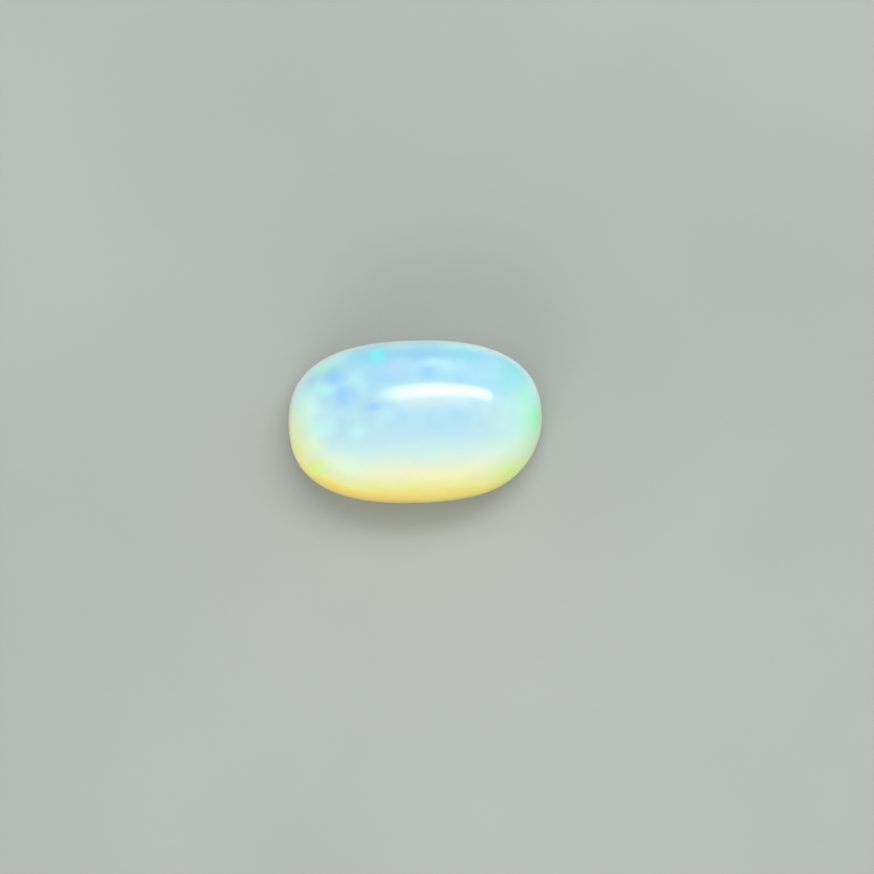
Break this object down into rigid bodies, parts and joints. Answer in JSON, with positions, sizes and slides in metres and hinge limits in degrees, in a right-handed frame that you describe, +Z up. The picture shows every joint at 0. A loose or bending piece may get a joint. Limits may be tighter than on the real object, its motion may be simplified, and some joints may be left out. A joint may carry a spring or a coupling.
{
  "type": "oval opal cabochon",
  "caption": "Polished oval cabochon of milky, pale opal: a high smooth dome with a rounded lower edge and a flat back, to set in a bezel or lay on a surface.",
  "frame": {"origin": "under the middle of the stone's box, on the surface that its flat back rests on", "axes": "+X along the oval's length, +Y along its width, +Z up through the dome"},
  "size_m": [0.012, 0.0076, 0.0044],
  "materials": {
    "milky_opal": "high polish, translucent and milky"
  },
  "bodies": {
    "root": {"opal_cabochon": "milky_opal"}
  },
  "joints": []
}
